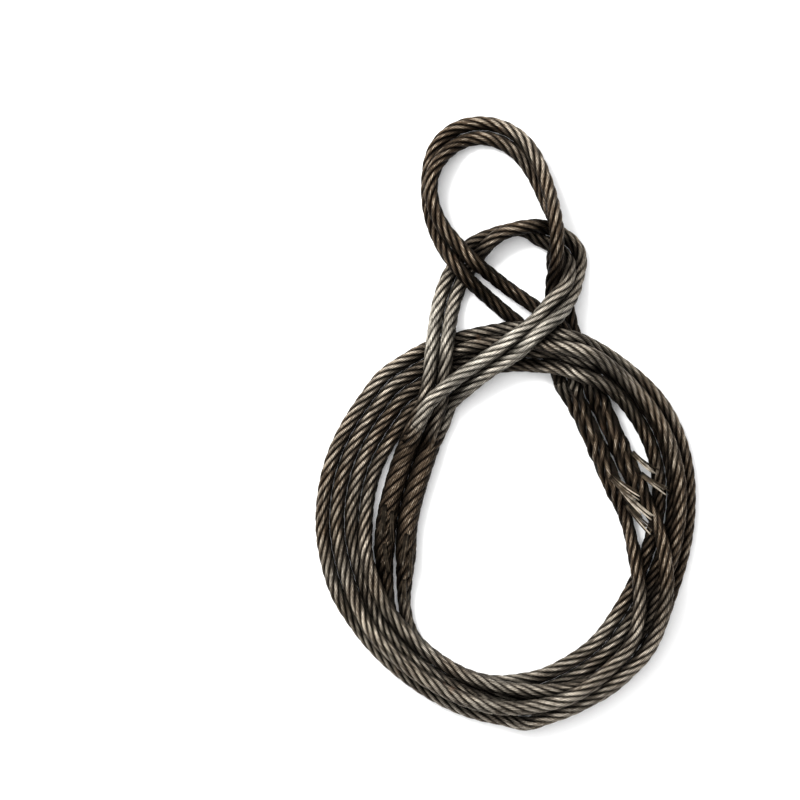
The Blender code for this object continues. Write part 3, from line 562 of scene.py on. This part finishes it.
class Sling:
    """The whole line of one sling, from the tail of its lower eye to that of its upper eye."""

    def __init__(self, body, lower, upper, neighbours):
        sections = sling_sections(smooth_line(body, FINE / 2), lower, upper)
        whole = soften(resample(np.vstack(sections), FINE), 3)
        self.line = resample(whole, FINE)
        self.line[:, 2] = np.maximum(self.line[:, 2], REAL_R)
        self.along = arc_lengths(self.line)
        lengths = [arc_lengths(section)[-1] for section in sections]
        scale = self.along[-1] / sum(lengths)
        self.ends = np.cumsum(lengths) * scale
        self.turn = self.turns()
        self.place, self.strand_r, self.sunk = self.places()
        self.line[:, 2] = np.maximum(self.line[:, 2], self.place + self.strand_r)
        self.grease = self.greasiness()
        self.openness = self.feel_around(neighbours)

    def in_stretch(self, stretch):
        """Which points belong to a stretch of a splice, and every point's depth from its throat."""
        section, way, _ = STRETCHES[stretch]
        depth = way * (self.along - self.ends[section])
        return (depth >= 0) & (depth <= SPLICE_L[stretch[0]] + BEYOND), depth

    def turns(self):
        """Angle about the line at which the first strand lies, at each point."""
        rate = np.full(len(self.along), 2 * math.pi / ROPE_LAY)
        for (end, kind), (_, _, lay) in STRETCHES.items():
            inside, depth = self.in_stretch((end, kind))
            share = smooth_step(depth / THROAT_RUN)
            if kind == "standing":
                share = share * (1 - smooth_step(tapered(depth, end)))
            mixed = (1 - share) / ROPE_LAY + share / lay
            rate = np.where(inside, 2 * math.pi * mixed, rate)
        turn = np.concatenate([[0.0], np.cumsum(0.5 * (rate[1:] + rate[:-1]) * FINE)])
        return self.side_by_side(turn)

    def side_by_side(self, turn):
        """Shifts the lower tail's strands to lie against the rope's own, in pairs."""
        tail, depth = self.in_stretch(("lower", "tail"))
        standing, standing_depth = self.in_stretch(("lower", "standing"))
        halfway = SPLICE_L["lower"] / 2
        own = math.pi - np.interp(halfway, standing_depth[standing], turn[standing])
        tucked = np.interp(halfway, depth[tail][::-1], turn[tail][::-1])
        pitch = 2 * math.pi / STRANDS
        shift = (own - tucked - PAIRED + pitch / 2) % pitch - pitch / 2
        return turn + np.where(tail, shift * smooth_step(depth / THROAT_RUN), 0.0)

    def angle_at(self, wanted, end, kind):
        """Angle of the first strand at some depths of a splice, about the way out of its throat."""
        inside, depth = self.in_stretch((end, kind))
        runs_out = (end == "lower") == (kind == "tail")
        angle = self.turn if runs_out else math.pi - self.turn
        order = np.argsort(depth[inside])
        return np.interp(wanted, depth[inside][order], angle[inside][order])

    def places(self):
        """A strand's distance from the rope's axis, its radius, and how far others cover it."""
        place = np.full(len(self.along), STRAND_PLACE)
        radius = np.full(len(self.along), STRAND_R)
        sunken = np.zeros(len(self.along))
        for end, kind in STRETCHES:
            inside, depth = self.in_stretch((end, kind))
            at = depth[inside]
            apart = self.angle_at(at, end, "standing") - self.angle_at(at, end, "tail")
            over = np.cos(math.pi * apart / (2 * math.pi / STRANDS))
            done = tapered(at, end)
            thick = STRAND_R + (SPLICE_STRAND_R - STRAND_R) * (1 - done)
            swing = WEAVE[end] * (1 - done)
            middle = splice_radius(at, end) - SPLICE_SHY - thick - swing
            if kind == "tail":
                over = -over
                buried = smooth_step(done / BURIED_BY)
                middle = middle * (1 - buried) + BURIED_AT * buried
                swing = swing * (1 - buried)
                thick = thick * (1 - BURIED_THIN * buried)
            share = smooth_step(at / THROAT_RUN)
            radius[inside] = (1 - share) * STRAND_R + share * thick
            place[inside] = (1 - share) * STRAND_PLACE + share * (middle + swing * over)
            # how far others cover a strand, which sets the painted shade where it dips under
            covered = 0.5 - 0.5 * over if end == "upper" else COVERED
            sunken[inside] = share * (1 - done) * covered
        return place, radius, sunken

    def greasiness(self):
        """How greasy the rope is along its line."""
        from_centre = self.line[:, :2] - COIL_CENTRE
        angle = np.degrees(np.arctan2(from_centre[:, 1], from_centre[:, 0])) % 360.0
        grease = np.interp(angle, *np.transpose(COIL_GREASE))
        for end, start, stop in (("lower", *self.ends[:2]), ("upper", *self.ends[2:4])):
            inside = (self.along >= start) & (self.along <= stop)
            places = np.linspace(start, stop, len(EYE_GREASE[end]))
            grease[inside] = np.interp(self.along[inside], places, EYE_GREASE[end])
        for stretch in STRETCHES:
            inside, depth = self.in_stretch(stretch)
            end = stretch[0]
            fades = smooth_step(depth / SPLICE_L[end] * 4 - 3)  # over the last quarter
            share = smooth_step(depth / THROAT_RUN) * (1 - fades)
            grease = np.where(inside, grease + share * (SPLICE_GREASE[end] - grease), grease)
        return grease

    def feel_around(self, neighbours):
        """How open the rope's surface is in each direction, which sets its painted shade: 1 in the
        open, 0 where pressed.
        """
        line = self.line[::LOOKS_STEP]
        left, up = plan_frame(line)
        openness = np.empty((len(line), LOOKS_AROUND))
        for look in range(LOOKS_AROUND):
            angle = 2 * math.pi * look / LOOKS_AROUND
            outward = math.cos(angle) * left + math.sin(angle) * up
            surface = line + outward * ROPE_D / 2
            ways = neighbours[None, :, :] - surface[:, None, :]
            far = np.linalg.norm(ways, axis=2)
            facing = np.maximum((ways * outward[:, None, :]).sum(2) / far, 0.0)
            # painted shade where the neighbours hide the surface from the room
            hidden = (facing * ROPE_D * STEP / (math.pi * far ** 2)).sum(1)
            # painted shade on the underside, as if the floor hid it
            hidden = hidden + UNDERSIDE_SHADE * (1 - outward[:, 2])
            openness[:, look] = np.clip(1 - hidden, 0, 1)
        return openness

    def open_at(self, rows, angle):
        """Openness at given rows of the line, at angles about it."""
        before_last = len(self.openness) - 1.001
        row = np.minimum(rows / LOOKS_STEP, before_last)
        column = (angle / (2 * math.pi) * LOOKS_AROUND) % LOOKS_AROUND
        found = 0.0
        for row_side in (0, 1):
            for column_side in (0, 1):
                share = np.abs(1 - row_side - row % 1) * np.abs(1 - column_side - column % 1)
                place = (column.astype(int) + column_side) % LOOKS_AROUND
                found = found + share * self.openness[row.astype(int) + row_side, place]
        return found

    def cut(self, first, last):
        """The points between two distances along the line, both ends included."""
        return (self.along >= first - FINE / 2) & (self.along <= last + FINE / 2)


# ---- the rope's pieces as tubes: sections, and the wear, painted shade and grease at their points ----
def strand_tube(sling, keep, number):
    """One strand of a sling, with a lobe for each of its outer wires."""
    left, up = plan_frame(sling.line[keep])
    angle = sling.turn[keep] + number * 2 * math.pi / STRANDS
    outward = np.cos(angle)[:, None] * left + np.sin(angle)[:, None] * up
    path = sling.line[keep] + sling.place[keep][:, None] * outward
    along = headings(path)
    outward = unit(outward - (outward * along).sum(1)[:, None] * along)
    sideways = np.cross(along, outward)
    outline = np.tile(WIRE_POINTS, WIRES)
    twist = -2 * math.pi * sling.along[keep] / WIRE_LAY + number
    beta = twist[:, None] + np.arange(len(outline))[None, :] * 2 * math.pi / len(outline)
    reach = sling.strand_r[keep][:, None] * outline[None, :]
    sections = (path[:, None, :]
                + (reach * np.cos(beta))[:, :, None] * outward[:, None, :]
                + (reach * np.sin(beta))[:, :, None] * sideways[:, None, :])
    grease = np.broadcast_to(sling.grease[keep][:, None], beta.shape)
    # bright on each strand's outward crown and its wires' tops: real wear with a painted highlight,
    # and painted shade in the grooves
    high = (outline[None, :] - min(WIRE_POINTS)) / (1 - min(WIRE_POINTS))
    bare_and_lit = (0.5 + 0.5 * np.cos(beta)) ** (BARE_AND_LIT_EDGE[0] + BARE_AND_LIT_EDGE[1] * grease)
    wear_and_groove_shade = bare_and_lit * (GROOVE_WEAR_AND_SHADE + (1 - GROOVE_WEAR_AND_SHADE) * high) + streaks(sling.along[keep], number)
    # less where greasy, and painted shade where pressed, underneath or covered
    return sections, wear_and_groove_shade - grease_and_painted_shade(sling, keep, sections, grease), grease


def streaks(along, number):
    """How much brighter or duller each wire of a strand is, along the rope."""
    wire = np.repeat(np.arange(WIRES), len(WIRE_POINTS))
    tint = np.modf(np.sin((wire + 1) * SCATTER[0] + number * SCATTER[1]) * SCATTER[2])[0]
    drift = np.sin(2 * math.pi * along[:, None] / DRIFT_RUN + DRIFT_APART * tint[None, :])
    return WIRE_TINT * tint[None, :] + WIRE_DRIFT * drift


def grease_and_painted_shade(sling, keep, sections, grease):
    """What is taken off a strand's wear: grease where it is greasy, and painted shade where it is
    pressed, underneath or covered.
    """
    left, up = plan_frame(sling.line[keep])
    out = sections - sling.line[keep][:, None, :]
    about = np.arctan2((out * up[:, None, :]).sum(2), (out * left[:, None, :]).sum(2))
    rows = np.broadcast_to(np.nonzero(keep)[0][:, None], about.shape)
    hidden = 1 - sling.open_at(rows, about)
    return PRESSED_SHADE * hidden + GREASE_DIRT * grease + SUNK_SHADE * sling.sunk[keep][:, None]


def rings(centres, radii, left, up, around):
    """Round sections about points, in the plane of two directions."""
    beta = np.arange(around) * 2 * math.pi / around
    ring = np.cos(beta)[None, :, None] * left[:, None, :]
    ring = ring + np.sin(beta)[None, :, None] * up[:, None, :]
    return centres[:, None, :] + np.broadcast_to(radii, len(centres))[:, None, None] * ring


def core_tube(sling, keep):
    """The core that the strands lie on, thicker in the splices."""
    line, place = sling.line[keep][::2], sling.place[keep][::2]
    radius = np.clip(place - STRAND_R + CORE_LAP, CORE_R, SPLICE_CORE_R)
    sections = rings(line, radius, *plan_frame(line), CORE_SIDES)
    return sections, np.zeros(sections.shape[:2]), np.ones(sections.shape[:2])


def broom_wire(wire, end, base, run, across, radial, rng):
    """One wire of a cut strand, from the line that all of them follow."""
    aside = wire - 0.5 * (BROOM_WIRES - 1)
    row = BROOM_ROW if wire % 2 else -BROOM_ROW
    root_pitch, tip_pitch = BROOM_PITCH[end]
    packed = root_pitch * aside * across + row * radial
    stray = rng.normal(0.0, BROOM_STRAY, 2)
    splayed = (tip_pitch * aside + stray[0]) * across + stray[1] * radial
    points = base + BROOM_SHARES * rng.uniform(*BROOM_REACH) * run
    late = BROOM_SHARES ** BROOM_LATE
    points = points + (1 - late) * packed + late * splayed
    points[:, 2] = np.maximum(points[:, 2], BROOM_WIRE_R)
    along = headings(points)
    level = np.cross(along[0], (0.0, 0.0, 1.0))
    left = unit(level[None, :] - (along @ level)[:, None] * along)
    sections = rings(points, BROOM_WIRE_R, left, np.cross(along, left), BROOM_SIDES)
    bright = BROOM_BRIGHT[end] * rng.uniform(BROOM_DULL, 1.0)
    bright = bright * (BROOM_FOOT + (1 - BROOM_FOOT) * BROOM_SHARES)
    bright = np.broadcast_to(bright, sections.shape[:2])
    return sections, bright, 1 - bright


# ---- meshes ----
def sweep(sections):
    """Vertices and quads of a tube through sections of equal count."""
    count, around = sections.shape[:2]
    rows = np.arange(count - 1)[:, None] * around
    here = np.arange(around)[None, :]
    after = (here + 1) % around
    quads = np.stack([rows + here, rows + after, rows + around + after, rows + around + here],
                     axis=2).reshape(-1, 4)
    return sections.reshape(-1, 3), quads


def joined(tubes):
    """Vertices of closed tubes, their faces' corners in one row, and the faces' corner counts."""
    places, quads, caps = [], [], []
    start = 0
    for sections, _, _ in tubes:
        points, faces = sweep(sections)
        around = sections.shape[1]
        caps.append(np.arange(start + around - 1, start - 1, -1))
        caps.append(np.arange(start + len(points) - around, start + len(points)))
        places.append(points)
        quads.append(faces + start)
        start += len(points)
    quads = np.vstack(quads)
    corners = np.concatenate([quads.ravel(), *caps]).astype(np.int32)
    sizes = np.concatenate([np.full(len(quads), 4), [len(cap) for cap in caps]])
    return np.vstack(places), corners, sizes


def added(name, data):
    """An object in the scene."""
    made = bpy.data.objects.new(name, data)
    bpy.context.collection.objects.link(made)
    return made


def mesh_object(name, tubes, look, body):
    """One object from several tubes, with their wear, painted shade and grease for its material."""
    places, corners, sizes = joined(tubes)
    mesh = bpy.data.meshes.new(name)
    mesh.vertices.add(len(places))
    mesh.vertices.foreach_set("co", places.astype(np.float32).ravel())
    mesh.loops.add(len(corners))
    mesh.loops.foreach_set("vertex_index", corners)
    mesh.polygons.add(len(sizes))
    starts = np.concatenate([[0], np.cumsum(sizes)[:-1]]).astype(np.int32)
    mesh.polygons.foreach_set("loop_start", starts)
    mesh.update(calc_edges=True)
    mesh.validate()
    mesh.shade_smooth()
    # the first value is wear with painted highlight and painted shade, the second grease
    for kind, column in (("wear_and_shade", 1), ("grease", 2)):
        values = np.concatenate([tube[column].reshape(-1) for tube in tubes])
        layer = mesh.attributes.new(kind, "FLOAT", "POINT")
        layer.data.foreach_set("value", values.astype(np.float32))
    mesh.materials.append(look)
    made = added(name, mesh)
    if body:
        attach(made, body)
    return made


# ---- materials ----
def plug(tree, value, socket):
    """Links a socket to another node's output, or sets its value or colour."""
    if isinstance(value, bpy.types.NodeSocket):
        tree.links.new(value, socket)
    elif isinstance(value, tuple):
        socket.default_value = (*value, 1.0)
    else:
        socket.default_value = value


def node(tree, kind, **values):
    """A shader node with its settings and unlinked inputs."""
    made = tree.nodes.new(kind)
    for name, value in values.items():
        if name in made.inputs:
            made.inputs[name].default_value = value
        else:
            setattr(made, name, value)
    return made


def noise(tree, scale, detail=4.0, roughness=0.55):
    """Solid noise in the object's own coordinates."""
    made = node(tree, "ShaderNodeTexNoise", Scale=scale, Detail=detail, Roughness=roughness)
    place = node(tree, "ShaderNodeTexCoord")
    tree.links.new(place.outputs["Object"], made.inputs["Vector"])
    return made.outputs["Fac"]


def ramp(tree, source, stops):
    """A value run through a colour ramp."""
    made = node(tree, "ShaderNodeValToRGB")
    band = made.color_ramp
    band.elements[0].position, band.elements[0].color = stops[0][0], (*stops[0][1], 1.0)
    band.elements[1].position, band.elements[1].color = stops[-1][0], (*stops[-1][1], 1.0)
    for position, colour in stops[1:-1]:
        band.elements.new(position).color = (*colour, 1.0)
    tree.links.new(source, made.inputs["Fac"])
    return made.outputs["Color"]


def greys(*stops):
    """Colour stops from places and brightnesses."""
    return [(place, (bright, bright, bright)) for place, bright in stops]


def math_node(tree, operation, a, b):
    """One sum or product of two values or sockets."""
    made = node(tree, "ShaderNodeMath", operation=operation)
    plug(tree, a, made.inputs[0])
    plug(tree, b, made.inputs[1])
    return made.outputs["Value"]


def mix(tree, share, a, b):
    """Two colours mixed by a share."""
    made = node(tree, "ShaderNodeMix", data_type="RGBA")
    colours = [socket for socket in made.inputs if socket.type == "RGBA"]
    plug(tree, share, made.inputs[0])
    plug(tree, a, colours[0])
    plug(tree, b, colours[1])
    return [socket for socket in made.outputs if socket.type == "RGBA"][0]


def attribute(tree, name):
    """A value that the mesh carries at its points."""
    return node(tree, "ShaderNodeAttribute", attribute_name=name).outputs["Fac"]


def grain(tree, source, scale, detail, strength):
    """A value with solid noise about zero added to it."""
    centred = math_node(tree, "SUBTRACT", noise(tree, scale, detail), 0.5)
    return math_node(tree, "ADD", source, math_node(tree, "MULTIPLY", centred, strength))


def new_material(name, **values):
    """A material, with values and colours on its shader's own sockets."""
    made = bpy.data.materials.new(name)
    made.use_nodes = True
    tree = made.node_tree
    shader = tree.nodes["Principled BSDF"]
    for socket, value in values.items():
        plug(tree, value, shader.inputs[socket.replace("_", " ")])
    return made, tree, shader


def bumps(tree, shader, height, strength, distance):
    """Gives a material bumps of a height."""
    made = node(tree, "ShaderNodeBump", Strength=strength, Distance=distance)
    tree.links.new(height, made.inputs["Height"])
    tree.links.new(made.outputs["Normal"], shader.inputs["Normal"])


def greased_steel():
    """Strand wires: grease, dirt and painted shade in the grooves, steel worn bright with a painted
    highlight on the crowns.
    """
    made, tree, shader = new_material("greased_wire_rope", Metallic=0.85,
                                      Specular_IOR_Level=0.25)
    # wear with painted highlight and painted shade, roughened by dirt noise
    worn_and_shaded = grain(tree, grain(tree, attribute(tree, "wear_and_shade"), *COARSE_DIRT), *FINE_DIRT)
    clogged = grain(tree, attribute(tree, "grease"), *GREASE_PATCHES)
    share = ramp(tree, clogged, greys((0.05, 0.0), (0.70, 1.0)))
    colour = mix(tree, share, ramp(tree, worn_and_shaded, CLEAN_WIRE), ramp(tree, worn_and_shaded, BROWN_WIRE))
    rusty = ramp(tree, noise(tree, *RUST_PATCHES), greys((0.66, 0.0), (0.76, 0.5)))
    tree.links.new(mix(tree, rusty, colour, RUST), shader.inputs["Base Color"])
    rough = ramp(tree, noise(tree, STEEL_GRAIN), greys((0.30, 0.34), (0.75, 0.56)))
    tree.links.new(rough, shader.inputs["Roughness"])
    bumps(tree, shader, noise(tree, STEEL_PITS), strength=0.35, distance=0.0002)
    return made


def core_grease():
    """The core between the strands: fibre full of black grease."""
    made, tree, shader = new_material("greased_core", Roughness=0.55)
    tree.links.new(ramp(tree, noise(tree, CORE_MOTTLE), CORE_BLACK), shader.inputs["Base Color"])
    bumps(tree, shader, noise(tree, CORE_PITS), strength=0.5, distance=0.0004)
    return made


def cut_wire():
    """Bare cut wires: dull grey steel with brown grease in patches."""
    made, tree, shader = new_material("cut_strand_steel", Metallic=0.9, Specular_IOR_Level=0.2)
    worn_and_shaded = grain(tree, attribute(tree, "wear_and_shade"), *CUT_DIRT)
    tree.links.new(ramp(tree, worn_and_shaded, CUT_WIRE), shader.inputs["Base Color"])
    rough = ramp(tree, noise(tree, CUT_GRAIN), greys((0.3, 0.34), (0.7, 0.55)))
    tree.links.new(rough, shader.inputs["Roughness"])
    return made


# ---- stage ----
def camera():
    """Looks straight down on the slings, their eyes at the top of the picture."""
    data = bpy.data.cameras.new("camera")
    data.lens = LENS
    data.sensor_width = SENSOR
    data.clip_end = 20.0
    made = added("camera", data)
    made.location = (*VIEW_CENTRE, VIEW_WIDTH * LENS / SENSOR)
    bpy.context.scene.camera = made


def key_light():
    """A square soft light that faces the slings from the upper left."""
    data = bpy.data.lights.new("key", "AREA")
    data.size = KEY_SIZE
    data.energy = KEY_WATTS
    made = added("key", data)
    made.location = KEY_PLACE
    aim = unit(np.array(KEY_PLACE))
    made.rotation_euler = (math.acos(aim[2]), 0.0, math.atan2(aim[1], aim[0]) + math.pi / 2)


def plain_floor():
    """A pale floor at z = 0."""
    mesh = bpy.data.meshes.new("floor")
    corners = [(-1, -1), (1, -1), (1, 1), (-1, 1)]
    mesh.from_pydata([(x * FLOOR_HALF, y * FLOOR_HALF, 0) for x, y in corners], [], [(0, 1, 2, 3)])
    floor = added("floor", mesh)
    pale = new_material("floor", Base_Color=FLOOR_PALE, Roughness=0.9,
                        Emission_Color=(1.0, 1.0, 1.0), Emission_Strength=FLOOR_GLOW)[0]
    mesh.materials.append(pale)


def room():
    """A studio whose ceiling is bright towards the upper left and whose walls are dim."""
    world = bpy.data.worlds.new("room")
    world.use_nodes = True
    tree = world.node_tree
    place = node(tree, "ShaderNodeTexCoord")
    facing = node(tree, "ShaderNodeVectorMath", operation="DOT_PRODUCT")
    tree.links.new(place.outputs["Generated"], facing.inputs[0])
    facing.inputs[1].default_value = LIGHT_FROM
    sky = tree.nodes["Background"]
    bright = ramp(tree, facing.outputs["Value"], greys(*ROOM_SHADES))
    tree.links.new(bright, sky.inputs["Color"])
    sky.inputs["Strength"].default_value = ROOM_BRIGHT
    bpy.context.scene.world = world
    bpy.context.scene.view_settings.view_transform = "Standard"


def coiled_body(number, sling, look, core):
    """The standing rope from throat to throat: six strands and a core, one cord."""
    keep = sling.cut(sling.ends[1], sling.ends[2])
    name = f"sling_{number}"
    pieces = [mesh_object(f"{name}_strand_{strand + 1}", [strand_tube(sling, keep, strand)],
                          look, "heap") for strand in range(STRANDS)]
    pieces.append(mesh_object(f"{name}_core", [core_tube(sling, keep)], core, "heap"))
    lengths = [f"{name}_rope_body_{count + 1}" for count in range(BODY_LENGTHS)]
    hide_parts(*lengths, f"{name}_lower_splice", f"{name}_upper_splice")


def soft_eye(number, end, sling, look, core):
    """One eye with its tucked tail, as one mesh of six strands and another of the core."""
    lower = end == "lower"
    keep = sling.cut(0.0, sling.ends[1]) if lower else sling.cut(sling.ends[2], sling.along[-1])
    body = "heap" if lower else None
    eye = f"sling_{number}_{end}_eye"
    tubes = [strand_tube(sling, keep, strand) for strand in range(STRANDS)]
    made = mesh_object(f"{eye}_rope", tubes, look, body)
    middle = mesh_object(f"{eye}_core", [core_tube(sling, keep)], core, body)
    if lower:
        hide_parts(eye)
    else:
        bend_at_hinge(made, middle)
        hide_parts(f"{eye}_left_leg", f"{eye}_right_leg", f"{eye}_bow")


def bend_at_hinge(*pieces):
    """Bakes the placement of an upper eye's pieces into their meshes."""
    for piece in pieces:
        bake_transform(piece)


def broom(number, spec, line, look, rng):
    """A cut strand: a bundle of wires that stand out of a splice and splay."""
    sling, end, distance, round_about, tip = spec
    outward = line if end == "lower" else line[::-1]
    centre = point_at(outward, distance)
    along = unit(point_at(outward, distance + STEP) - centre)
    side = unit(np.array([-along[1], along[0], 0.0]))
    up = np.cross(along, side)
    turn = math.radians(round_about)
    radial = math.cos(turn) * side + math.sin(turn) * up
    root = centre + radial * (splice_radius(distance, end) - BROOM_SUNK * TAIL_D)
    run = np.array(tip) - root
    reach = np.linalg.norm(run)
    across = unit(np.cross(run / reach, radial))
    t = BROOM_SHARES
    base = root - BROOM_ROOT * reach * (1 - t) ** 3 * along
    base = base + BROOM_BOW * reach * 4 * t * (1 - t) * up
    tubes = [broom_wire(wire, end, base, run, across, radial, rng)
             for wire in range(BROOM_WIRES)]
    name = f"sling_{sling}_{end}_broom_{number}"
    made = mesh_object(name, tubes, look, "heap")
    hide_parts(f"sling_{sling}_{end}_cut_strand_{number}")


def main():
    """Makes the camera, the ropes, their cut strands and the studio."""
    camera()
    steel, core, wire = greased_steel(), core_grease(), cut_wire()
    lines = settled_lines()
    neighbours = np.vstack([resample(line, STEP) for three in lines.values() for line in three])
    for number, (body, lower, upper) in lines.items():
        body = pressed_in(body, lines[3 - number][0])
        sling = Sling(body, with_throat(lower, body[0], body[1]),
                      with_throat(upper, body[-1], body[-2]), neighbours)
        coiled_body(number, sling, steel, core)
        soft_eye(number, "lower", sling, steel, core)
        soft_eye(number, "upper", sling, steel, core)
    rng = np.random.default_rng(BROOM_SEED)
    counts = {}
    for spec in CUT_STRANDS:
        key = spec[:2]
        counts[key] = counts.get(key, 0) + 1
        broom(counts[key], spec, lines[spec[0]][0], wire, rng)
    plain_floor()
    key_light()
    room()


main()
